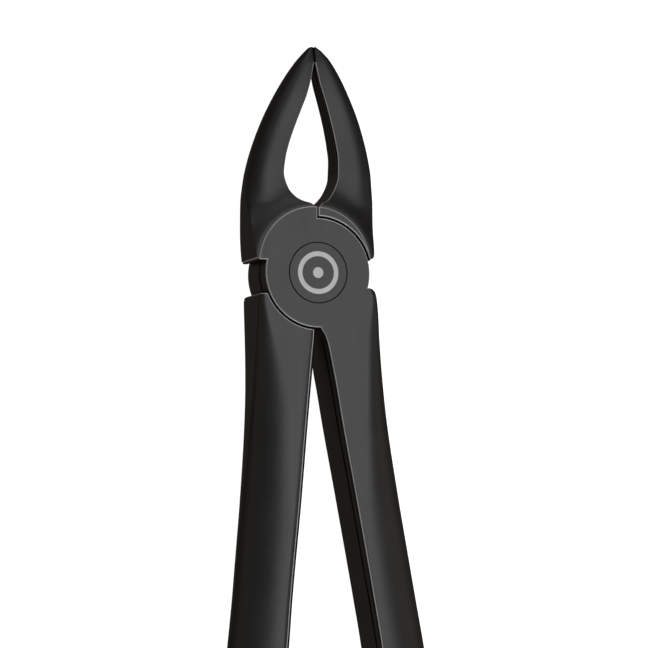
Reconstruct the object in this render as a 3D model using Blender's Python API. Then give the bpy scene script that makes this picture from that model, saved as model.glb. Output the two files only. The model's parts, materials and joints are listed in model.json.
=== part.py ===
"""Extraction forceps: two forged levers that cross in a lap joint, turning on a flush pivot.

Frame, in metres: the tool lies flat on its rear face. +X is the user's right, +Y runs along
the tool to the beak tips, +Z comes out of the front face. The origin is the point where the
pivot axis meets the rear face, so every part has its origin on the joint's axis.
The design below is written in millimetres and scaled by MM when the meshes are made.
"""

import math

import bmesh
import bpy
import numpy as np

MM = 0.001

# Driving sizes, mm
THICKNESS = 10.4        # levers and joint, front face to rear face
PART_Z = 6.6            # height of the plane where the two half discs meet
FACE_GAP = 0.2          # between the half discs
DISC_R = 10.0           # of the front half disc
REAR_DISC_R = 10.2
SEAM = 0.42             # between a half disc and the shoulder that runs round it
LAND_R = 10.75          # raised flat land round the joint, on the beak side
LAND_CENTRE = (-0.5, 1.4)
BEAK_GAP = 0.3          # between the closed beaks
TIP_Y = 42.2
END_Y = -131.0
END_ROUNDING = 6.0
CREST_AT = 0.4          # the thickest line of a beak, as a share of its width from the inside
INNER_DROP = 0.12       # how much lower a beak's inner edge lies than that line
BEAK_FULLNESS = 0.8     # below 1 a beak's outer corner is fuller than an ellipse
INNER_DRAFT = 0.4       # lean of the handles' inner faces over the full thickness
LIP_DEPTH = 0.15        # fine step along the handles' inner faces
LIP_AT = 2.5            # its distance below the front

POST_HEAD_R = 5.5
HEAD_FIT = 0.16         # dark line round the head of the post
POST_HEAD_T = 1.6
POST_R = 3.0
SCREW_HEAD_R = 4.2
SCREW_HEAD_T = 1.5
SCREW_R = 1.5
SCREW_DEPTH = 5.6       # how far the stud of the lock screw goes into the post
FIT = 0.1               # radial clearance of the turned pieces
STACK_GAP = 0.2         # axial clearance between pieces of the joint
SPANNER_HOLE_R = 0.6
SPANNER_HOLE_AT = 2.5
SPANNER_HOLE_DEPTH = 0.9

MID_Z = THICKNESS / 2
RING = 96               # facets on the turned pieces
SERRATIONS = (0.22, 0.45, 0.68, 0.9)    # grooves inside the beaks, as shares of their height
SERRATION_DEPTH = 0.25
SERRATION_WIDTH = 0.4
SERRATED_FROM = 18.5    # they run from here nearly to the tip


def smooth(points):
    """Monotone curve through (y, value) points, given in rising order of y."""
    y, v = np.array(points, float).T
    step, slope = np.diff(y), np.diff(v) / np.diff(y)
    tangent = np.empty_like(v)
    tangent[0], tangent[-1] = slope[0], slope[-1]
    for i in range(1, len(v) - 1):
        if slope[i - 1] * slope[i] <= 0:
            tangent[i] = 0
            continue
        a = 2 * step[i] + step[i - 1]
        b = step[i] + 2 * step[i - 1]
        tangent[i] = (a + b) / (a / slope[i - 1] + b / slope[i])

    def value(at):
        i = int(np.clip(np.searchsorted(y, at) - 1, 0, len(step) - 1))
        t = min(max((at - y[i]) / step[i], 0.0), 1.0)
        return (
            (2 * t**3 - 3 * t**2 + 1) * v[i]
            + (t**3 - 2 * t**2 + t) * step[i] * tangent[i]
            + (3 * t**2 - 2 * t**3) * v[i + 1]
            + (t**3 - t**2) * step[i] * tangent[i + 1]
        )

    return value


# Outlines, as (y, distance out from the long axis). Each beak has its own, because the
# front lever's beak is the wider one and closes just past the middle.
LEFT_BEAK = {
    "side": -1,
    "end": 2.3,
    "outer": smooth([
        (2.3, 11.5), (6, 12.0), (9.7, 12.5), (13.4, 12.77), (17, 12.52), (20.8, 11.77),
        (24.5, 10.62), (28.3, 9.12), (32.1, 7.28), (35.9, 5.1), (39, 3.0), (41, 1.35),
        (TIP_Y, 0.15),
    ]),
    "inner": smooth([
        (2.3, 0.6), (12.3, 0.6), (12.8, 1.2), (13.05, 2.2), (13.35, 3.0), (13.9, 3.8),
        (15.4, 5.0), (18.3, 5.85), (21.2, 5.47), (24.1, 4.68), (27, 3.62), (30.5, 2.22),
        (32.9, 1.25), (35, 0.6), (36.2, 0.3), (38.1, -0.05), (39.6, -0.35), (TIP_Y, -0.35),
    ]),
    "wall_front": smooth([(2.3, 4.75), (6, 4.3), (10, 3.1), (13, 1.6), (17, 0.5), (22, 0)]),
    "wall_rear": smooth([(2.3, 3.2), (6, 3.1), (10, 2.4), (13, 1.5), (17, 0.5), (22, 0)]),
}
RIGHT_BEAK = {
    "side": 1,
    "end": 2.75,
    "outer": smooth([
        (2.75, 10.6), (3.15, 11.0), (3.9, 11.2), (6.9, 11.3), (10.6, 11.58), (14.4, 11.8),
        (18.1, 11.73), (21.8, 11.25), (25.5, 10.38), (29.2, 9.22), (32.9, 7.7), (36.5, 5.95),
        (39.2, 4.3), (41.2, 2.65), (TIP_Y, 1.1),
    ]),
    "inner": smooth([
        (2.75, 0.6), (12.3, 0.6), (12.8, 1.05), (13.2, 1.85), (13.9, 2.6),
        (15.4, 3.65), (18.3, 4.6), (21.2, 4.65), (24.1, 4.26), (27, 3.68), (30.5, 2.8),
        (32.9, 2.1), (35.8, 1.25), (37.7, 0.88), (39.6, 0.6), (TIP_Y, 0.6),
    ]),
    "wall_front": smooth([(2.75, 2.6), (6, 2.6), (10, 2.2), (13, 1.5), (17, 0.5), (22, 0)]),
    "wall_rear": smooth([(2.75, 4.75), (6, 4.3), (10, 3.1), (13, 1.6), (17, 0.5), (22, 0)]),
}
CREST = smooth([(2, 3.6), (13, 3.55), (18, 3.3), (27, 2.75), (34, 2.45), (39, 2.0), (TIP_Y, 1.2)])
LAND_STEP = 0.4         # the beak's surface starts this far below the land
LAND_OVERHANG = 0.2     # the land ends this far beyond the beak's lower end
RUN_OUT = 2.4           # and falls to its own thickness over about this distance

LEFT_HANDLE = {
    "side": -1,
    "end": -4.0,
    "outer": smooth([
        (END_Y, 20.0), (-125, 20.2), (-110, 19.7), (-90, 17.85), (-68, 15.4), (-59.6, 14.55),
        (-52, 13.92), (-41.4, 13.03), (-26.8, 11.85), (-20.3, 11.5), (-12.3, 11.28),
        (-5.0, 11.2), (-4.0, 10.9),
    ]),
    "inner": smooth([
        (END_Y, 9.6), (-110, 9.0), (-90, 7.3), (-66.9, 5.1), (-59.6, 4.55), (-41.4, 2.82),
        (-26.8, 1.58), (-15.9, 0.6), (-10.5, 0.12), (-4.0, 0.12),
    ]),
    "ridge": smooth([
        (END_Y, 11.7), (-90, 9.0), (-59.6, 5.95), (-41.4, 4.9), (-26.8, 4.9), (-20.3, 5.85),
        (-12.3, 7.95), (-6.8, 9.6), (-4.0, 10.1),
    ]),
    "wall": smooth([(END_Y, 0.4), (-45, 0.4), (-26.8, 1.6), (-20.3, 2.3), (-12.3, 3.4), (-4, 4.5)]),
}
RIGHT_HANDLE = {
    "side": 1,
    "end": -2.5,
    "outer": smooth([
        (END_Y, 27.4), (-125, 27.7), (-110, 27.35), (-90, 25.4), (-68, 22.1), (-59.6, 20.55),
        (-41.4, 17.22), (-27, 14.5), (-20, 13.45), (-12, 12.45), (-7, 12.0), (-4.3, 11.6),
        (-3.1, 11.2), (-2.5, 10.5),
    ]),
    "inner": smooth([
        (END_Y, 17.1), (-110, 16.8), (-90, 15.1), (-66.9, 11.95), (-59.6, 10.65),
        (-41.4, 7.25), (-26.8, 4.45), (-20.3, 3.3), (-15.9, 2.4), (-12.8, 1.7),
        (-11.3, 1.15), (-10.5, 0.6), (-10.0, 0.3), (-2.5, 0.3),
    ]),
    "ridge": smooth([
        (END_Y, 18.7), (-90, 16.3), (-67, 13.0), (-59.6, 11.75), (-41.4, 9.4), (-27, 9.2),
        (-20.3, 9.4), (-12.3, 9.55), (-8.6, 9.9), (-4.3, 10.5), (-2.5, 9.8),
    ]),
    "wall": smooth([(END_Y, 0.4), (-45, 0.4), (-26.8, 1.6), (-20.3, 2.3), (-12.3, 3.4), (-2.5, 4.5)]),
}
HANDLE_CHAMFER = 0.5    # on the inner edges of the handles


def collection(name, hidden=False):
    made = bpy.data.collections.new(name)
    bpy.context.scene.collection.children.link(made)
    made.hide_render = hidden
    return made


def clear_scene():
    for ob in list(bpy.data.objects):
        bpy.data.objects.remove(ob, do_unlink=True)
    for old in list(bpy.data.collections):
        bpy.data.collections.remove(old)


def material(name, colour, roughness, metallic):
    made = bpy.data.materials.new(name)
    made.use_nodes = True
    shader = made.node_tree.nodes["Principled BSDF"]
    shader.inputs["Base Color"].default_value = (*colour, 1)
    shader.inputs["Roughness"].default_value = roughness
    shader.inputs["Metallic"].default_value = metallic
    return made


def new_object(name, bm, group):
    """Object from a bmesh in mm, with its origin at the world origin, on the joint's axis."""
    bmesh.ops.scale(bm, vec=(MM, MM, MM), verts=bm.verts)
    bmesh.ops.recalc_face_normals(bm, faces=bm.faces)
    mesh = bpy.data.meshes.new(name)
    bm.to_mesh(mesh)
    bm.free()
    ob = bpy.data.objects.new(name, mesh)
    group.objects.link(ob)
    return ob


def cylinder(name, radius, z0, z1, group, at=(0, 0)):
    bm = bmesh.new()
    bmesh.ops.create_cone(
        bm, cap_ends=True, segments=RING, radius1=radius, radius2=radius, depth=z1 - z0
    )
    bmesh.ops.translate(bm, vec=(at[0], at[1], (z0 + z1) / 2), verts=bm.verts)
    return new_object(name, bm, group)


def loft(name, rings, group):
    """Closed skin through rings of equal length, with a flat face on each end."""
    bm = bmesh.new()
    rows = [[bm.verts.new(point) for point in ring] for ring in rings]
    count = len(rows[0])
    for low, high in zip(rows, rows[1:]):
        for i in range(count):
            j = (i + 1) % count
            bm.faces.new((low[i], low[j], high[j], high[i]))
    for row in (rows[0], list(reversed(rows[-1]))):
        middle = bm.verts.new(np.mean([vert.co for vert in row], axis=0))
        for i in range(count):
            bm.faces.new((row[i], middle, row[(i + 1) % count]))
    bmesh.ops.triangulate(bm, faces=bm.faces)
    return new_object(name, bm, group)


def ellipse_arc(start, end, count, bulge, fullness=1.0):
    """Points after start up to end: an elliptic corner, flattened a little towards its chord."""
    points = []
    for i in range(1, count + 1):
        a = math.pi / 2 * i / count
        round_x = start[0] + (end[0] - start[0]) * math.sin(a) ** fullness
        round_z = end[1] + (start[1] - end[1]) * max(math.cos(a), 0.0) ** fullness
        t = i / count
        flat_x = start[0] + (end[0] - start[0]) * t
        flat_z = start[1] + (end[1] - start[1]) * t
        points.append((
            flat_x + (round_x - flat_x) * bulge,
            flat_z + (round_z - flat_z) * bulge,
        ))
    return points


def beak_half(beak, y, wall):
    """One face of a beak's section, inner edge to outer wall, as (distance out, height)."""
    inner, outer = beak["inner"](y), beak["outer"](y)
    crest_x = inner + (outer - inner) * CREST_AT
    wall_top = wall(y)

    def height(out, own):
        x = out * beak["side"]
        beyond = math.hypot(x - LAND_CENTRE[0], y - LAND_CENTRE[1]) - LAND_R
        near = math.exp(-((max(beyond, 0) / RUN_OUT) ** 2))
        return own + (MID_Z - LAND_STEP - own) * near

    points = []
    for i in range(5):
        t = i / 4
        out = inner + (crest_x - inner) * t
        own = CREST(y) - INNER_DROP * (1 - math.sin(t * math.pi / 2))
        points.append((out, height(out, own)))
    crest = (crest_x, CREST(y))
    corner = ellipse_arc(crest, (outer, min(wall_top, CREST(y) * 0.98)), 8, 0.95, BEAK_FULLNESS)
    for out, own in corner[:-1]:
        points.append((out, height(out, own)))
    points.append((outer, min(max(wall_top, 0.12), points[-1][1] - 0.05)))
    return points


def beak_ring(beak, y):
    """Section across a beak at y: front face, wall, rear face, then the serrated inside."""
    front = beak_half(beak, y, beak["wall_front"])
    rear = beak_half(beak, y, beak["wall_rear"])
    fade = min((y - SERRATED_FROM) / 3, (TIP_Y - y) / 0.8, 1)
    bite = SERRATION_DEPTH * max(fade, 0)
    points = [(out, MID_Z + high) for out, high in front]
    points += [(out, MID_Z - high) for out, high in reversed(rear)]
    inner, low = front[0][0], MID_Z - rear[0][1]
    high = MID_Z + front[0][1] - low
    half_width = min(SERRATION_WIDTH, 0.18 * high) / 2
    for share in SERRATIONS:
        z = low + high * share
        points += [(inner, z - half_width), (inner + bite, z), (inner, z + half_width)]
    return [(beak["side"] * out, y, z) for out, z in points]


def handle_ring(handle, y):
    """D-shaped section: flat inside with small chamfers, flat zones, rounded outside."""
    inner, outer = handle["inner"](y), handle["outer"](y)
    ridge, wall = handle["ridge"](y), handle["wall"](y)
    chamfer = HANDLE_CHAMFER
    half = [(inner, MID_Z - chamfer), (inner + chamfer, MID_Z), (ridge, MID_Z)]
    half += ellipse_arc((ridge, MID_Z), (outer, wall), 9, 0.85)
    points = [(out, MID_Z + high) for out, high in half]
    points += [(out, MID_Z - high) for out, high in reversed(half)]
    lip = LIP_DEPTH * min(max((-11 - y) / 4, 0.01), 1)
    points += [(inner, THICKNESS - LIP_AT), (inner + lip, THICKNESS - LIP_AT + 0.1)]
    lean = INNER_DRAFT * min(max((-12 - y) / 6, 0), 1)
    points = [
        (out - lean * (1 - z / THICKNESS) * (outer - out) / (outer - inner), z)
        for out, z in points
    ]
    end = max(0.0, (END_Y + END_ROUNDING - y) / END_ROUNDING)
    if end > 0:
        keep = math.sqrt(max(1 - end**2, 0.0025))
        middle = (inner + outer) / 2
        points = [
            (middle + (out - middle) * keep, MID_Z + (z - MID_Z) * keep) for out, z in points
        ]
    return [(handle["side"] * out, y, z) for out, z in points]


def plate(name, outline, z0, z1, group):
    """Flat outline, given as (x, y) points, extruded from z0 to z1."""
    curve = bpy.data.curves.new(name, "CURVE")
    curve.dimensions = "2D"
    curve.fill_mode = "BOTH"
    curve.extrude = (z1 - z0) / 2 * MM
    spline = curve.splines.new("POLY")
    spline.points.add(len(outline) - 1)
    for point, (x, y) in zip(spline.points, outline):
        point.co = (x * MM, y * MM, 0, 1)
    spline.use_cyclic_u = True
    flat = bpy.data.objects.new(name, curve)
    flat.location.z = (z0 + z1) / 2 * MM
    group.objects.link(flat)
    bpy.context.view_layer.update()
    depsgraph = bpy.context.evaluated_depsgraph_get()
    mesh = bpy.data.meshes.new_from_object(flat.evaluated_get(depsgraph))
    bm = bmesh.new()
    bm.from_mesh(mesh)
    bmesh.ops.transform(bm, matrix=flat.matrix_world, verts=bm.verts)
    bmesh.ops.remove_doubles(bm, verts=bm.verts, dist=0.001 * MM)
    bmesh.ops.scale(bm, vec=(1 / MM, 1 / MM, 1 / MM), verts=bm.verts)
    bpy.data.objects.remove(flat)
    bpy.data.meshes.remove(mesh)
    return new_object(name, bm, group)


def boolean(ob, tool, operation):
    cut = ob.modifiers.new(tool.name, "BOOLEAN")
    cut.operation = operation
    cut.object = tool
    cut.solver = "EXACT"


def land_outline(beak):
    """The flat land on a beak: the large arc from the beak's lower end to the middle seam."""
    cx, cy = LAND_CENTRE
    seam = beak["side"] * BEAK_GAP / 2
    end = beak["end"] - LAND_OVERHANG
    low = math.asin((end - cy) / LAND_R)
    high = math.acos((seam - cx) / LAND_R)
    if beak["side"] < 0:
        low = math.pi - low
    arc = [
        (cx + LAND_R * math.cos(a), cy + LAND_R * math.sin(a))
        for a in np.linspace(low, high, 30)
    ]
    return arc + [(seam, end)]


def lever(name, beak, handle, disc, clearance, look, group, tools):
    """Beak, half disc and handle as one forging, with the other lever's disc cut away."""
    beak_ys = np.concatenate([
        np.linspace(beak["end"], 12.3, 9),
        [12.45, 12.6, 12.8, 13.1, 13.6, 14.3, 15.2, 16.3, 17.6],
        np.linspace(19, 38, 11),
        [39, 39.8, 40.4, 40.8, TIP_Y],
    ])
    handle_ys = np.concatenate([
        [END_Y, END_Y + 0.4, END_Y + 1.2, END_Y + 2.4, END_Y + 4, END_Y + END_ROUNDING],
        np.linspace(-116, -32, 9),
        [-27, -23.5, -20, -17, -14, -12, -10.6, -9.8, -8, -6],
        np.linspace(-5, handle["end"], 3),
    ])
    body = loft(name, [beak_ring(beak, y) for y in beak_ys], group)
    grip = loft(name + "_grip", [handle_ring(handle, y) for y in handle_ys], tools)
    land = plate(name + "_land", land_outline(beak), 0, THICKNESS, tools)
    own = cylinder(name + "_disc", *disc, tools)
    other = cylinder(name + "_clearance", *clearance, tools)
    for tool in (land, own, grip):
        boolean(body, tool, "UNION")
    boolean(body, other, "DIFFERENCE")
    body.data.materials.append(look)
    return body


def build():
    clear_scene()
    parts = collection("extraction_forceps")
    tools = collection("cutters", hidden=True)
    black = material("black_coated_steel", (0.035, 0.035, 0.036), 0.42, 0.9)
    pivot_look = material("black_coated_pivot", (0.03, 0.03, 0.031), 0.38, 0.9)
    screw_look = material("dark_steel_screw", (0.05, 0.05, 0.052), 0.35, 1.0)

    below, above = PART_Z - FACE_GAP / 2, PART_Z + FACE_GAP / 2
    front = lever(
        "front_lever", LEFT_BEAK, RIGHT_HANDLE,
        (DISC_R, above - 0.4, THICKNESS), (REAR_DISC_R + SEAM, -1, above), black, parts, tools,
    )
    rear = lever(
        "rear_lever", RIGHT_BEAK, LEFT_HANDLE,
        (REAR_DISC_R, 0, below + 0.4), (DISC_R + SEAM, below, THICKNESS + 1), black, parts, tools,
    )

    # the pivot: holes through both discs, with a recess for each head
    shank = cylinder("pivot_hole", POST_R + FIT, -1, THICKNESS + 1, tools)
    head_seat = cylinder(
        "post_head_seat", POST_HEAD_R + HEAD_FIT,
        THICKNESS - POST_HEAD_T - STACK_GAP, THICKNESS + 1, tools,
    )
    screw_seat = cylinder(
        "screw_head_seat", SCREW_HEAD_R + FIT, -1, SCREW_HEAD_T + STACK_GAP, tools,
    )
    for ob, cutters in ((front, (shank, head_seat)), (rear, (shank, screw_seat))):
        for cutter in cutters:
            boolean(ob, cutter, "DIFFERENCE")

    post = cylinder(
        "pivot_post", POST_HEAD_R, THICKNESS - POST_HEAD_T, THICKNESS, parts)
    post_end = SCREW_HEAD_T + STACK_GAP
    post_shank = cylinder("post_shank", POST_R, post_end, THICKNESS - POST_HEAD_T / 2, tools)
    stud_hole = cylinder(
        "stud_hole", SCREW_R + FIT, 0, SCREW_HEAD_T + SCREW_DEPTH + STACK_GAP, tools)
    boolean(post, post_shank, "UNION")
    boolean(post, stud_hole, "DIFFERENCE")
    post.data.materials.append(pivot_look)

    screw = cylinder("lock_screw", SCREW_HEAD_R, 0, SCREW_HEAD_T, parts)
    stud = cylinder("screw_stud", SCREW_R, SCREW_HEAD_T / 2, SCREW_HEAD_T + SCREW_DEPTH, tools)
    boolean(screw, stud, "UNION")
    for side in (-1, 1):
        hole = cylinder(
            "spanner_hole", SPANNER_HOLE_R, -1, SPANNER_HOLE_DEPTH, tools,
            at=(side * SPANNER_HOLE_AT, 0),
        )
        boolean(screw, hole, "DIFFERENCE")
    screw.data.materials.append(screw_look)

    for ob in tools.objects:
        ob.hide_render = True
        ob.display_type = "WIRE"
    for ob in parts.objects:
        ob.data.shade_smooth()
        ob.data.set_sharp_from_angle(angle=math.radians(28))


build()
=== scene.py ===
"""Extraction forceps, satin black: the finished surfaces, lit and seen as in a product picture.

The levers, the pivot post and the lock screw are made again here from the same outlines as
the CAD parts, with fine sections and with small chamfers that carry a light colour as a painted
highlight.
Sizes are in millimetres unless a name or comment says otherwise.
"""

import json
import math

import bmesh
import bpy
import numpy as np
from mathutils import Matrix, Vector

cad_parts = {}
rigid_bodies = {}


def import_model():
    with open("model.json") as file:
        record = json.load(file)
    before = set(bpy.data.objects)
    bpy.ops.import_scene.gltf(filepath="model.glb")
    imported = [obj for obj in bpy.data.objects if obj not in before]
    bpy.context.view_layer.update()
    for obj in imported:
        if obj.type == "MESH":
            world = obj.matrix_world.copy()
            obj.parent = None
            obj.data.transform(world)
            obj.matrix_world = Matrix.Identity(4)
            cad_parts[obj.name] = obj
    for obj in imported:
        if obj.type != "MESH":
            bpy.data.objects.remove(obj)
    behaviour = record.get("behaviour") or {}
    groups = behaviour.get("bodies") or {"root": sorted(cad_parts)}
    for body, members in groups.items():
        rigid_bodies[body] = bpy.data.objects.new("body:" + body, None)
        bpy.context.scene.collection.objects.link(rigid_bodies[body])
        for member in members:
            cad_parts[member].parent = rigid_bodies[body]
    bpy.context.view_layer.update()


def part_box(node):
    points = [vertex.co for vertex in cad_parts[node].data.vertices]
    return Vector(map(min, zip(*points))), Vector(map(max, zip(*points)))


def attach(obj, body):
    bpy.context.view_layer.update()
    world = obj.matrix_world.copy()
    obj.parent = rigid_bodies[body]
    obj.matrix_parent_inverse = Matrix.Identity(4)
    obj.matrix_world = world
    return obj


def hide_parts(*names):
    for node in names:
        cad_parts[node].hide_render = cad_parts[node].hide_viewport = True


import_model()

MM = 0.001


def mm_box(node):
    low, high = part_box(node)
    return np.array(low) / MM, np.array(high) / MM


front_low, front_high = mm_box("front_lever")
post_high = mm_box("pivot_post")[1]
screw_high = mm_box("lock_screw")[1]

THICKNESS = round(float(front_high[2]), 3)
MID_Z = THICKNESS / 2
TIP_Y = round(float(front_high[1]), 3)
END_Y = round(float(front_low[1]), 3)
POST_HEAD_R = float(post_high[0])
SCREW_HEAD_R = float(screw_high[0])

PART_Z = 6.6            # height of the plane where the two half discs meet
FACE_GAP = 0.2
DISC_R = 10.0           # of the front half disc
REAR_DISC_R = 10.2
SEAM = 0.42
LAND_R = 10.75
LAND_CENTRE = (-0.5, 1.4)
LAND_OVERHANG = 0.2
LAND_STEP = 0.4
RUN_OUT = 2.4
BEAK_GAP = 0.3
END_ROUNDING = 6.0
CREST_AT = 0.4          # the thickest line of a beak, as a share of its width from the inside
INNER_DROP = 0.12       # how much lower a beak's inner edge lies than that line
BEAK_EDGE = 0.13        # small rounding of that inner edge
BEAK_FULLNESS = 0.8     # below 1 a beak's outer corner is fuller than an ellipse
INNER_DRAFT = 0.4       # lean of the handles' inner faces over the full thickness
LIP_DEPTH = 0.15        # fine step along the handles' inner faces
LIP_AT = 2.5            # its distance below the front
LEAN_FROM, LIP_FROM = -12, -11          # where the lean and the step begin to fade in
POST_HEAD_T = 1.6
POST_R = 3.0
SCREW_HEAD_T = 1.5
SCREW_R = 1.5
SCREW_DEPTH = 5.6
FIT = 0.1
HEAD_FIT = 0.08
STACK_GAP = 0.2
SERRATIONS = (0.22, 0.45, 0.68, 0.9)    # grooves inside the beaks, as shares of their height
SERRATION_DEPTH = 0.25
SERRATION_WIDTH = 0.4
SERRATED_FROM = 18.5

CHAMFER = 0.2           # along the joint's edges
FINE_CHAMFER = 0.07     # round the pivot head and the screw head
MARK_R = 3.9            # light etched ring and dot on the pivot head
MARK_INNER_R = 3.0
MARK_DOT_R = 1.0
MARK_DEPTH = 0.03
RING = 192              # facets on turned pieces


# ---------------------------------------------------------------- outlines

def smooth(points):
    """Monotone curve through (y, value) points, given in rising order of y."""
    y, v = np.array(points, float).T
    step, slope = np.diff(y), np.diff(v) / np.diff(y)
    tangent = np.empty_like(v)
    tangent[0], tangent[-1] = slope[0], slope[-1]
    for i in range(1, len(v) - 1):
        if slope[i - 1] * slope[i] <= 0:
            tangent[i] = 0
            continue
        a = 2 * step[i] + step[i - 1]
        b = step[i] + 2 * step[i - 1]
        tangent[i] = (a + b) / (a / slope[i - 1] + b / slope[i])

    def value(at):
        i = int(np.clip(np.searchsorted(y, at) - 1, 0, len(step) - 1))
        t = min(max((at - y[i]) / step[i], 0.0), 1.0)
        return (
            (2 * t**3 - 3 * t**2 + 1) * v[i]
            + (t**3 - 2 * t**2 + t) * step[i] * tangent[i]
            + (3 * t**2 - 2 * t**3) * v[i + 1]
            + (t**3 - t**2) * step[i] * tangent[i + 1]
        )

    return value


LEFT_BEAK = {
    "side": -1,
    "end": 2.3,
    "outer": smooth([
        (2.3, 11.5), (6, 12.0), (9.7, 12.5), (13.4, 12.77), (17, 12.52), (20.8, 11.77),
        (24.5, 10.62), (28.3, 9.12), (32.1, 7.28), (35.9, 5.1), (39, 3.0), (41, 1.35),
        (TIP_Y, 0.15),
    ]),
    "inner": smooth([
        (2.3, 0.6), (12.3, 0.6), (12.8, 1.2), (13.05, 2.2), (13.35, 3.0), (13.9, 3.8),
        (15.4, 5.0), (18.3, 5.85), (21.2, 5.47), (24.1, 4.68), (27, 3.62), (30.5, 2.22),
        (32.9, 1.25), (35, 0.6), (36.2, 0.3), (38.1, -0.05), (39.6, -0.35), (TIP_Y, -0.35),
    ]),
    "wall_front": smooth([(2.3, 4.75), (6, 4.3), (10, 3.1), (13, 1.6), (17, 0.5), (22, 0)]),
    "wall_rear": smooth([(2.3, 3.2), (6, 3.1), (10, 2.4), (13, 1.5), (17, 0.5), (22, 0)]),
}
RIGHT_BEAK = {
    "side": 1,
    "end": 2.75,
    "outer": smooth([
        (2.75, 10.6), (3.15, 11.0), (3.9, 11.2), (6.9, 11.3), (10.6, 11.58), (14.4, 11.8),
        (18.1, 11.73), (21.8, 11.25), (25.5, 10.38), (29.2, 9.22), (32.9, 7.7), (36.5, 5.95),
        (39.2, 4.3), (41.2, 2.65), (TIP_Y, 1.1),
    ]),
    "inner": smooth([
        (2.75, 0.6), (12.3, 0.6), (12.8, 1.05), (13.2, 1.85), (13.9, 2.6),
        (15.4, 3.65), (18.3, 4.6), (21.2, 4.65), (24.1, 4.26), (27, 3.68), (30.5, 2.8),
        (32.9, 2.1), (35.8, 1.25), (37.7, 0.88), (39.6, 0.6), (TIP_Y, 0.6),
    ]),
    "wall_front": smooth([(2.75, 2.6), (6, 2.6), (10, 2.2), (13, 1.5), (17, 0.5), (22, 0)]),
    "wall_rear": smooth([(2.75, 4.75), (6, 4.3), (10, 3.1), (13, 1.6), (17, 0.5), (22, 0)]),
}
CREST = smooth([(2, 3.6), (13, 3.55), (18, 3.3), (27, 2.75), (34, 2.45), (39, 2.0), (TIP_Y, 1.2)])

LEFT_HANDLE = {
    "side": -1,
    "edge_r": 1.4,          # rounding of the inner edges
    "highlight_band": (57, 65),       # the painted highlight line on that rounding, in degrees up from its wall
    "end": -4.0,
    "outer": smooth([
        (END_Y, 20.0), (-125, 20.2), (-110, 19.7), (-90, 17.85), (-68, 15.4), (-59.6, 14.55),
        (-52, 13.92), (-41.4, 13.03), (-26.8, 11.85), (-20.3, 11.5), (-12.3, 11.28),
        (-5.0, 11.2), (-4.0, 10.9),
    ]),
    "inner": smooth([
        (END_Y, 9.6), (-110, 9.0), (-90, 7.3), (-66.9, 5.1), (-59.6, 4.55), (-41.4, 2.82),
        (-26.8, 1.58), (-15.9, 0.6), (-10.5, 0.12), (-4.0, 0.12),
    ]),
    "ridge": smooth([
        (END_Y, 11.7), (-90, 9.0), (-59.6, 5.95), (-41.4, 4.9), (-26.8, 4.9), (-20.3, 5.85),
        (-12.3, 7.95), (-6.8, 9.6), (-4.0, 10.1),
    ]),
    "wall": smooth([(END_Y, 0.4), (-45, 0.4), (-26.8, 1.6), (-20.3, 2.3), (-12.3, 3.4), (-4, 4.5)]),
}
RIGHT_HANDLE = {
    "side": 1,
    "edge_r": 0.55,
    "highlight_band": (54, 72),
    "end": -2.5,
    "outer": smooth([
        (END_Y, 27.4), (-125, 27.7), (-110, 27.35), (-90, 25.4), (-68, 22.1), (-59.6, 20.55),
        (-41.4, 17.22), (-27, 14.5), (-20, 13.45), (-12, 12.45), (-7, 12.0), (-4.3, 11.6),
        (-3.1, 11.2), (-2.5, 10.5),
    ]),
    "inner": smooth([
        (END_Y, 17.1), (-110, 16.8), (-90, 15.1), (-66.9, 11.95), (-59.6, 10.65),
        (-41.4, 7.25), (-26.8, 4.45), (-20.3, 3.3), (-15.9, 2.4), (-12.8, 1.7),
        (-11.3, 1.15), (-10.5, 0.6), (-10.0, 0.3), (-2.5, 0.3),
    ]),
    "ridge": smooth([
        (END_Y, 18.7), (-90, 16.3), (-67, 13.0), (-59.6, 11.75), (-41.4, 9.4), (-27, 9.2),
        (-20.3, 9.4), (-12.3, 9.55), (-8.6, 9.9), (-4.3, 10.5), (-2.5, 9.8),
    ]),
    "wall": smooth([(END_Y, 0.4), (-45, 0.4), (-26.8, 1.6), (-20.3, 2.3), (-12.3, 3.4), (-2.5, 4.5)]),
}


# ---------------------------------------------------------------- mesh tools

TOOLS = bpy.data.collections.new("build_tools")
bpy.context.scene.collection.children.link(TOOLS)
COAT, EDGE, EXTRA = 0, 1, 2     # material slots; the middle one is a light colour, a painted highlight on edges; the last holds painted shade in grooves or the etching


def new_object(name, bm, looks, tool=False):
    bmesh.ops.scale(bm, vec=(MM, MM, MM), verts=bm.verts)
    bmesh.ops.recalc_face_normals(bm, faces=bm.faces)
    mesh = bpy.data.meshes.new(name)
    bm.to_mesh(mesh)
    bm.free()
    ob = bpy.data.objects.new(name, mesh)
    for look in looks:
        mesh.materials.append(look)
    (TOOLS if tool else bpy.context.scene.collection).objects.link(ob)
    return ob


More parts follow.
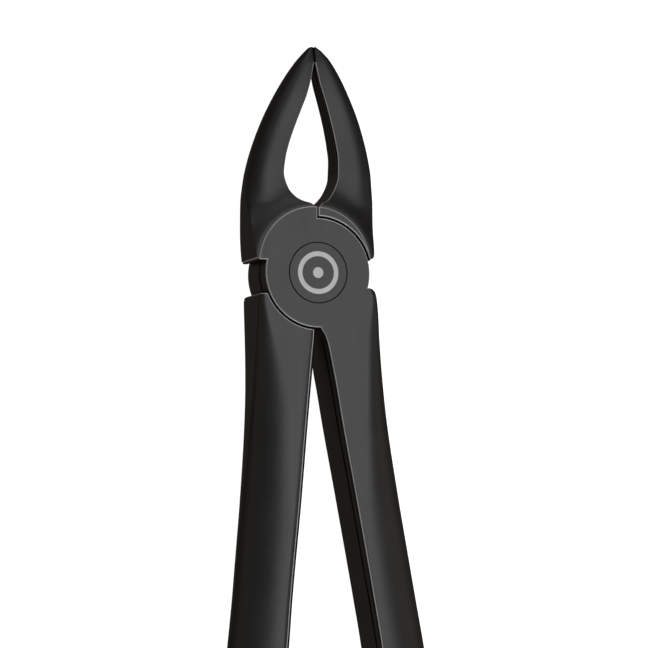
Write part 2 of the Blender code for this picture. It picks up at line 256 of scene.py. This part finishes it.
def loft(name, rings, looks, tool=False, edge_at=(), groove_at=(), groove_from=0,
         end_edges=0, plain_end=0):
    """Closed skin through rings; edge_at and groove_at list ring segments by finish.

    The painted shade in the grooves begins at ring groove_from, and the last plain_end rings have no
    painted highlight.
    end_edges is the number of bands with a painted highlight at the last ring, or at the first if
    negative.
    """
    bm = bmesh.new()
    rows = [[bm.verts.new(point) for point in ring] for ring in rings]
    count = len(rows[0])
    last = len(rows) - 1
    for k, (low, high) in enumerate(zip(rows, rows[1:])):
        for i in range(count):
            j = (i + 1) % count
            face = bm.faces.new((low[i], low[j], high[j], high[i]))
            chamfered = i in edge_at and k < last - plain_end
            chamfered = chamfered or (end_edges > 0 and k >= last - end_edges)
            chamfered = chamfered or (end_edges < 0 and k < -end_edges)
            grooved = i in groove_at and k >= groove_from
            # Faces in edge_at and the end bands get the light colour as a painted highlight; groove
            # faces get near-black as painted shade.
            face.material_index = EXTRA if grooved else EDGE if chamfered else COAT
    for row in (rows[0], list(reversed(rows[-1]))):
        middle = bm.verts.new(np.mean([vert.co for vert in row], axis=0))
        for i in range(count):
            bm.faces.new((row[i], middle, row[(i + 1) % count]))
    return new_object(name, bm, looks, tool)


def turned(name, profile, looks, tool=False, edges=(), marks=(), at=(0, 0), facets=RING):
    """Solid of revolution from (radius, z) points; edges and marks list segments by finish."""
    bm = bmesh.new()
    angles = [2 * math.pi * i / facets for i in range(facets)]
    rows = [
        [bm.verts.new((at[0] + r * math.cos(a), at[1] + r * math.sin(a), z)) for a in angles]
        for r, z in profile
    ]
    for k, (low, high) in enumerate(zip(rows, rows[1:])):
        for i in range(facets):
            j = (i + 1) % facets
            face = bm.faces.new((low[i], low[j], high[j], high[i]))
            # Segments in edges get the light colour as a painted highlight; marks get the etching
            # colour.
            face.material_index = EXTRA if k in marks else EDGE if k in edges else COAT
    bm.faces.new(list(reversed(rows[0])))
    top = bm.faces.new(rows[-1])
    top.material_index = EXTRA if len(rows) - 1 in marks else COAT
    return new_object(name, bm, looks, tool)


def boolean(ob, tool, operation):
    cut = ob.modifiers.new(tool.name, "BOOLEAN")
    cut.operation = operation
    cut.object = tool
    cut.solver = "EXACT"
    cut.material_mode = "INDEX"


def settle(ob, sharp=24):
    """Bakes the modifiers into the mesh and shades it smooth between its real edges."""
    depsgraph = bpy.context.evaluated_depsgraph_get()
    mesh = bpy.data.meshes.new_from_object(ob.evaluated_get(depsgraph))
    ob.modifiers.clear()
    ob.data = mesh
    mesh.name = ob.name
    mesh.shade_smooth()
    mesh.set_sharp_from_angle(angle=math.radians(sharp))
    weighted = ob.modifiers.new("even_normals", "WEIGHTED_NORMAL")
    weighted.keep_sharp = True


# ---------------------------------------------------------------- sections

def ellipse_arc(start, end, count, bulge, fullness=1.0):
    """Points after start up to end: an elliptic corner, flattened a little towards its chord."""
    points = []
    for i in range(1, count + 1):
        a = math.pi / 2 * i / count
        round_x = start[0] + (end[0] - start[0]) * math.sin(a) ** fullness
        round_z = end[1] + (start[1] - end[1]) * max(math.cos(a), 0.0) ** fullness
        t = math.sin(a) ** 2
        flat_x = start[0] + (end[0] - start[0]) * t
        flat_z = start[1] + (end[1] - start[1]) * t
        points.append((
            flat_x + (round_x - flat_x) * bulge,
            flat_z + (round_z - flat_z) * bulge,
        ))
    return points


DOME_STEPS = 10
CORNER_STEPS = 22
# Ring segments by colour: the edge bands with a painted highlight, and the serrations and the step
# along a handle with painted shade.
BEAK_HIGHLIGHT_SEGMENTS = (0, 66)
SERRATION_SHADE_SEGMENTS = (68, 69, 71, 72, 74, 75, 77, 78)
HANDLE_HIGHLIGHT_SEGMENTS = (3, 60)
LIP_SHADE_SEGMENTS = (64, 65)
PLAIN_TIP_RINGS = 16


def beak_half(beak, y, wall):
    """One face of a beak's section, inner edge to outer wall, as (distance out, height)."""
    inner, outer = beak["inner"](y), beak["outer"](y)
    crest_x = inner + (outer - inner) * CREST_AT
    wall_top = wall(y)

    def height(out, own):
        x = out * beak["side"]
        beyond = math.hypot(x - LAND_CENTRE[0], y - LAND_CENTRE[1]) - LAND_R
        near = math.exp(-((max(beyond, 0) / RUN_OUT) ** 2))
        return own + (MID_Z - LAND_STEP - own) * near

    edge = min(BEAK_EDGE, (outer - inner) / 6)
    points = [(inner, height(inner, CREST(y) - INNER_DROP) - edge)]
    for i in range(DOME_STEPS + 1):
        t = i / DOME_STEPS
        out = inner + edge + (crest_x - inner - edge) * t
        own = CREST(y) - INNER_DROP * (1 - math.sin(t * math.pi / 2))
        points.append((out, height(out, own)))
    corner = ellipse_arc(
        (crest_x, CREST(y)), (outer, min(wall_top, CREST(y) * 0.98)),
        CORNER_STEPS, 0.95, BEAK_FULLNESS,
    )
    for out, own in corner[:-1]:
        points.append((out, height(out, own)))
    points.append((outer, min(max(wall_top, 0.05), points[-1][1] - 0.02)))
    return points


def beak_ring(beak, y, inset=0.0):
    """Section across a beak at y: front face, wall, rear face, then the serrated inside."""
    front = beak_half(beak, y, beak["wall_front"])
    rear = beak_half(beak, y, beak["wall_rear"])
    fade = min((y - SERRATED_FROM) / 3, (TIP_Y - y) / 0.8, 1)
    bite = SERRATION_DEPTH * max(fade, 0)
    points = [(out, MID_Z + high) for out, high in front]
    points += [(out, MID_Z - high) for out, high in reversed(rear)]
    inner, low = front[0][0], MID_Z - rear[0][1]
    high = MID_Z + front[0][1] - low
    half_width = min(SERRATION_WIDTH, 0.18 * high) / 2
    for share in SERRATIONS:
        z = low + high * share
        points += [(inner, z - half_width), (inner + bite, z), (inner, z + half_width)]
    return shrink([(beak["side"] * out, y, z) for out, z in points], inset)


def handle_ring(handle, y, inset=0.0):
    """D-shaped section: flat inside with rounded edges, flat zones, rounded outside."""
    inner, outer = handle["inner"](y), handle["outer"](y)
    ridge, wall = handle["ridge"](y), handle["wall"](y)
    r = handle["edge_r"]
    half = [(inner, MID_Z - r)]
    for a in np.radians((18, 36, *handle["highlight_band"], 90)):
        half.append((inner + r * (1 - math.cos(a)), MID_Z - r + r * math.sin(a)))
    start = inner + r
    half += [(start + (ridge - start) * i / 4, MID_Z) for i in range(1, 5)]
    half += ellipse_arc((ridge, MID_Z), (outer, wall), CORNER_STEPS, 0.85)
    points = [(out, MID_Z + high) for out, high in half]
    points += [(out, MID_Z - high) for out, high in reversed(half)]
    lip = LIP_DEPTH * min(max((LIP_FROM - y) / 4, 0.01), 1)
    points += [
        (inner, THICKNESS - LIP_AT - 0.06), (inner + 0.04, THICKNESS - LIP_AT),
        (inner + lip, THICKNESS - LIP_AT + 0.1),
    ]
    lean = INNER_DRAFT * min(max((LEAN_FROM - y) / 6, 0), 1)
    points = [
        (out - lean * (1 - z / THICKNESS) * (outer - out) / (outer - inner), z)
        for out, z in points
    ]
    end = max(0.0, (END_Y + END_ROUNDING - y) / END_ROUNDING)
    if end > 0:
        keep = math.sqrt(max(1 - end**2, 0.0025))
        middle = (inner + outer) / 2
        points = [
            (middle + (out - middle) * keep, MID_Z + (z - MID_Z) * keep) for out, z in points
        ]
    return shrink([(handle["side"] * out, y, z) for out, z in points], inset)


def shrink(ring, inset):
    """The ring drawn in by inset on every side, for the chamfer round an end face."""
    if not inset:
        return ring
    low, high = np.min(ring, axis=0), np.max(ring, axis=0)
    middle, size = (low + high) / 2, (high - low) / 2
    keep_x, keep_z = 1 - inset / size[0], 1 - inset / size[2]
    return [
        (middle[0] + (x - middle[0]) * keep_x, y, middle[2] + (z - middle[2]) * keep_z)
        for x, y, z in ring
    ]


def land_rings(beak):
    """The flat land on a beak, as outlines at rising heights with the rims chamfered."""
    cx, cy = LAND_CENTRE
    side = beak["side"]
    rings = []
    for z, inset in ((0, CHAMFER), (CHAMFER, 0), (THICKNESS - CHAMFER, 0), (THICKNESS, CHAMFER)):
        radius = LAND_R - inset
        seam = side * (BEAK_GAP / 2 + inset)
        end = beak["end"] - LAND_OVERHANG + inset
        low = math.asin((end - cy) / radius)
        high = math.acos((seam - cx) / radius)
        if side < 0:
            low = math.pi - low
        arc = [
            (cx + radius * math.cos(a), cy + radius * math.sin(a), z)
            for a in np.linspace(low, high, 80)
        ]
        rings.append(arc + [(seam, end, z)])
    return rings


def lever(name, beak, handle, front_half, looks):
    beak_ys = np.concatenate([
        np.linspace(beak["end"] + CHAMFER, 12.2, 34),
        np.linspace(12.3, 14, 18),
        np.linspace(14.2, 38, 70),
        np.linspace(38.2, 40.2, 12),
        TIP_Y - 0.8 * (1 - np.sin(np.linspace(0, math.pi / 2, 12)[1:])),
    ])
    handle_ys = np.concatenate([
        END_Y + END_ROUNDING * (1 - np.cos(np.linspace(0.0, math.pi / 2, 16))),
        np.linspace(-124, -32, 60),
        np.linspace(-31, handle["end"] - CHAMFER, 60),
    ])
    body = loft(
        name,
        [beak_ring(beak, beak["end"], CHAMFER)] + [beak_ring(beak, y) for y in beak_ys],
        looks, edge_at=BEAK_HIGHLIGHT_SEGMENTS, groove_at=SERRATION_SHADE_SEGMENTS,
        groove_from=int(np.searchsorted(beak_ys, SERRATED_FROM + 0.5)),
        end_edges=-1, plain_end=PLAIN_TIP_RINGS,
    )
    grip = loft(
        name + "_grip",
        [handle_ring(handle, y) for y in handle_ys]
        + [handle_ring(handle, handle["end"], CHAMFER)],
        looks, tool=True, edge_at=HANDLE_HIGHLIGHT_SEGMENTS, groove_at=LIP_SHADE_SEGMENTS, end_edges=1,
    )
    land = loft(name + "_land", land_rings(beak), looks, tool=True)
    # The land's chamfered rims get the light colour as a painted highlight.
    for face in land.data.polygons:
        tilt = abs(face.normal.z)
        face.material_index = EDGE if 0.3 < tilt < 0.95 else COAT

    half = PART_Z + FACE_GAP / 2 if front_half else PART_Z - FACE_GAP / 2
    c, top = CHAMFER, THICKNESS
    # The chamfers in own_edges and cut_edges get the light colour as a painted highlight.
    if front_half:
        own_profile = [(DISC_R, half - 0.4), (DISC_R, top - c), (DISC_R - c, top)]
        own_edges = (1,)
        r = REAR_DISC_R + SEAM
        cut_profile = [(r + c, -1), (r + c, 0), (r, c), (r, half)]
        cut_edges = (1,)
    else:
        own_profile = [(REAR_DISC_R - c, 0), (REAR_DISC_R, c), (REAR_DISC_R, half + 0.4)]
        own_edges = (0,)
        r = DISC_R + SEAM
        cut_profile = [(r, half), (r, top - c), (r + c, top), (r + c, top + 1)]
        cut_edges = (1,)
    own = turned(name + "_disc", own_profile, looks, tool=True, edges=own_edges)
    other = turned(name + "_clearance", cut_profile, looks, tool=True, edges=cut_edges)
    for tool in (land, own, grip):
        boolean(body, tool, "UNION")
    boolean(body, other, "DIFFERENCE")
    return body


# ---------------------------------------------------------------- materials

def steel(name, colour, roughness, grain, mottling, metallic=0.9):
    """Coated or burnished steel: fine blasted grain, cloudy tone and faint lengthwise strokes."""
    made = bpy.data.materials.new(name)
    made.use_nodes = True
    nodes, links = made.node_tree.nodes, made.node_tree.links
    shader = nodes["Principled BSDF"]
    shader.inputs["Metallic"].default_value = metallic
    coords = nodes.new("ShaderNodeTexCoord")

    def noise(scale, detail, stretch=None):
        texture = nodes.new("ShaderNodeTexNoise")
        texture.inputs["Scale"].default_value = scale
        texture.inputs["Detail"].default_value = detail
        source = coords.outputs["Object"]
        if stretch:
            mapping = nodes.new("ShaderNodeMapping")
            mapping.inputs["Scale"].default_value = stretch
            links.new(source, mapping.inputs["Vector"])
            source = mapping.outputs["Vector"]
        links.new(source, texture.inputs["Vector"])
        return texture.outputs["Fac"]

    def between(value, low, high):
        spread = nodes.new("ShaderNodeMapRange")
        spread.inputs["From Min"].default_value = 0.3
        spread.inputs["From Max"].default_value = 0.7
        spread.inputs["To Min"].default_value = low
        spread.inputs["To Max"].default_value = high
        links.new(value, spread.inputs["Value"])
        return spread.outputs["Result"]

    clouds = noise(120, 4)
    strokes = noise(900, 2, (1, 0.04, 1))
    tone = nodes.new("ShaderNodeMix")
    tone.data_type = "RGBA"
    tone.inputs["A"].default_value = (*[c * (1 - mottling) for c in colour], 1)
    tone.inputs["B"].default_value = (*[c * (1 + mottling) for c in colour], 1)
    links.new(between(clouds, 0, 1), tone.inputs["Factor"])
    links.new(tone.outputs["Result"], shader.inputs["Base Color"])

    rough = nodes.new("ShaderNodeMath")
    rough.operation = "ADD"
    links.new(between(clouds, roughness - 0.02, roughness + 0.02), rough.inputs[0])
    links.new(between(strokes, -0.01, 0.01), rough.inputs[1])
    links.new(rough.outputs[0], shader.inputs["Roughness"])

    bump = nodes.new("ShaderNodeBump")
    bump.inputs["Strength"].default_value = grain
    bump.inputs["Distance"].default_value = 0.00002
    links.new(noise(9000, 2), bump.inputs["Height"])
    links.new(bump.outputs["Normal"], shader.inputs["Normal"])
    return made


coat = steel("black_coat", (0.083, 0.083, 0.084), 0.42, 0.25, 0.06)
# Light colour for the chamfers and edge bands: a painted highlight.
edge = steel("painted_edge_highlight", (0.9, 0.9, 0.905), 0.4, 0.1, 0.08, 0.3)
# Near-black for the serration grooves and the step along the handles: painted shade.
groove = steel("painted_groove_shade", (0.012, 0.012, 0.012), 0.6, 0.2, 0.1)
etched = steel("etched_ring", (0.62, 0.62, 0.62), 0.5, 0.4, 0.04, 1.0)
head = steel("pivot_black", (0.077, 0.077, 0.078), 0.40, 0.2, 0.05)
screw_steel = steel("dark_screw_steel", (0.10, 0.10, 0.103), 0.34, 0.1, 0.08, 1.0)
LOOKS = (coat, edge, groove)

# ---------------------------------------------------------------- the pieces

front = lever("front_lever_surface", LEFT_BEAK, RIGHT_HANDLE, True, LOOKS)
rear = lever("rear_lever_surface", RIGHT_BEAK, LEFT_HANDLE, False, LOOKS)

hole = turned("pivot_hole", [(POST_R + FIT, -1), (POST_R + FIT, THICKNESS + 1)], LOOKS, tool=True)
seat_r = POST_HEAD_R + HEAD_FIT
c = FINE_CHAMFER
head_seat = turned(
    "post_head_seat",
    [(seat_r, THICKNESS - POST_HEAD_T - STACK_GAP), (seat_r, THICKNESS - c),
     (seat_r + c, THICKNESS), (seat_r + c, THICKNESS + 1)],
    LOOKS, tool=True,
)
# The screw seat's chamfer gets the light colour as a painted highlight.
seat_r = SCREW_HEAD_R + FIT
screw_seat = turned(
    "screw_head_seat",
    [(seat_r + c, -1), (seat_r + c, 0), (seat_r, c), (seat_r, SCREW_HEAD_T + STACK_GAP)],
    LOOKS, tool=True, edges=(1,),
)
for ob, cutters in ((front, (hole, head_seat)), (rear, (hole, screw_seat))):
    for cutter in cutters:
        boolean(ob, cutter, "DIFFERENCE")

etch = THICKNESS - MARK_DEPTH
post = turned(
    "pivot_post_surface",
    [(POST_R, SCREW_HEAD_T + STACK_GAP), (POST_R, THICKNESS - POST_HEAD_T),
     (POST_HEAD_R, THICKNESS - POST_HEAD_T), (POST_HEAD_R, THICKNESS - c),
     (POST_HEAD_R - c, THICKNESS),
     (MARK_R, THICKNESS), (MARK_R, etch), (MARK_INNER_R, etch), (MARK_INNER_R, THICKNESS),
     (MARK_DOT_R, THICKNESS), (MARK_DOT_R, etch)],
    (head, edge, etched), marks=(6, 10),
)
stud_hole = turned(
    "stud_hole",
    [(SCREW_R + FIT, 0), (SCREW_R + FIT, SCREW_HEAD_T + SCREW_DEPTH + STACK_GAP)],
    (head, edge, etched), tool=True,
)
boolean(post, stud_hole, "DIFFERENCE")
# The head's rim chamfer and the spanner holes' chamfers get the light colour as a painted highlight.
screw = turned(
    "lock_screw_surface",
    [(SCREW_HEAD_R - c, 0), (SCREW_HEAD_R, c), (SCREW_HEAD_R, SCREW_HEAD_T),
     (SCREW_R, SCREW_HEAD_T), (SCREW_R, SCREW_HEAD_T + SCREW_DEPTH)],
    (screw_steel, edge), edges=(0,),
)
for side in (-1, 1):
    spanner = turned(
        "spanner_hole", [(0.68, -1), (0.68, 0), (0.6, 0.08), (0.6, 0.9)],
        (screw_steel, edge), tool=True, edges=(1,), at=(side * 2.5, 0), facets=48,
    )
    boolean(screw, spanner, "DIFFERENCE")

bpy.context.view_layer.update()
for ob in (front, rear, post, screw):
    settle(ob)
for ob in list(TOOLS.objects):
    bpy.data.objects.remove(ob)
bpy.data.collections.remove(TOOLS)

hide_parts("front_lever")
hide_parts("rear_lever")
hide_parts("pivot_post")
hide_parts("lock_screw")
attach(front, "front_lever")
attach(post, "front_lever")
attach(screw, "front_lever")
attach(rear, "rear_lever")

# ---------------------------------------------------------------- stage, lights, camera

ground = bpy.data.meshes.new("floor")
ground.from_pydata([(-3, -3, 0), (3, -3, 0), (3, 3, 0), (-3, 3, 0)], [], [(0, 1, 2, 3)])
floor = bpy.data.objects.new("floor", ground)
floor.location.z = -0.002
bpy.context.scene.collection.objects.link(floor)
paper = bpy.data.materials.new("white_paper")
paper.use_nodes = True
for socket, value in (
    ("Base Color", (0.9, 0.9, 0.9, 1)), ("Roughness", 0.9),
    ("Emission Color", (1, 1, 1, 1)), ("Emission Strength", 1.0),
):
    paper.node_tree.nodes["Principled BSDF"].inputs[socket].default_value = value
ground.materials.append(paper)
floor.visible_glossy = False
floor.visible_diffuse = False


def softbox(name, place, aim, size, power, colour=(1, 1, 1)):
    """Square area light, in metres and watts."""
    data = bpy.data.lights.new(name, "AREA")
    data.shape = "SQUARE"
    data.size = size
    data.energy = power
    data.color = colour
    lamp = bpy.data.objects.new(name, data)
    lamp.location = place
    lamp.rotation_euler = (Vector(aim) - Vector(place)).to_track_quat("-Z", "Y").to_euler()
    bpy.context.scene.collection.objects.link(lamp)


AIM = (0, -0.03, 0)
softbox("key", (0.24, 0.02, 0.85), AIM, 0.6, 1.7)
softbox("left_fill", (-0.9, 0.0, 0.31), AIM, 0.5, 0.15, (1, 0.84, 0.66))
softbox("right_fill", (0.9, 0.0, 0.27), AIM, 0.5, 0.3, (1, 0.88, 0.76))
softbox("handle_end", (0, -0.9, 0.5), AIM, 0.6, 0.8)
softbox("beak_end", (0, 0.9, 0.5), AIM, 0.6, 0.8)

# The world is dim near the horizon, which keeps the steep sides dark.
world = bpy.data.worlds.new("studio")
world.use_nodes = True
sky_nodes, sky_links = world.node_tree.nodes, world.node_tree.links
direction = sky_nodes.new("ShaderNodeTexCoord")
height = sky_nodes.new("ShaderNodeSeparateXYZ")
sky = sky_nodes.new("ShaderNodeValToRGB")
bands = sky.color_ramp.elements
bands[0].position = 0.45
bands[0].color = (0.088, 0.076, 0.062, 1)
bands[1].position = 0.8
bands[1].color = (0.1, 0.1, 0.1, 1)
dip = bands.new(0.62)
dip.color = (0.032, 0.025, 0.019, 1)
half_up = sky_nodes.new("ShaderNodeMapRange")
half_up.inputs["From Min"].default_value = -1
sky_links.new(direction.outputs["Generated"], height.inputs["Vector"])
sky_links.new(height.outputs["Z"], half_up.inputs["Value"])
sky_links.new(half_up.outputs["Result"], sky.inputs["Fac"])
sky_links.new(sky.outputs["Color"], sky_nodes["Background"].inputs["Color"])
bpy.context.scene.world = world
bpy.context.scene.view_settings.view_transform = "Standard"

# The camera stands 19 degrees to the left of straight above and a little towards the handles.
AZIMUTH, TILT = math.radians(19), math.radians(4.5)
DISTANCE = 0.55
FIELD = 0.118           # width of the picture at the pivot, metres
back = Vector((
    -math.sin(AZIMUTH) * math.cos(TILT), -math.sin(TILT), math.cos(AZIMUTH) * math.cos(TILT),
))
right = Vector((math.cos(AZIMUTH), 0, math.sin(AZIMUTH)))
up = back.cross(right)
OFF_RIGHT, OFF_DOWN = 0.00104, 0.00937      # the picture's middle, seen from the pivot
pivot = Vector((0, 0, THICKNESS * MM))
target = pivot + right * OFF_RIGHT - up * OFF_DOWN
camera_data = bpy.data.cameras.new("camera")
camera_data.sensor_width = 36
camera_data.lens = 36 * DISTANCE / FIELD
camera = bpy.data.objects.new("camera", camera_data)
place = Matrix((right, up, back)).transposed().to_4x4()
place.translation = target + back * DISTANCE
camera.matrix_world = place
bpy.context.scene.collection.objects.link(camera)
bpy.context.scene.camera = camera
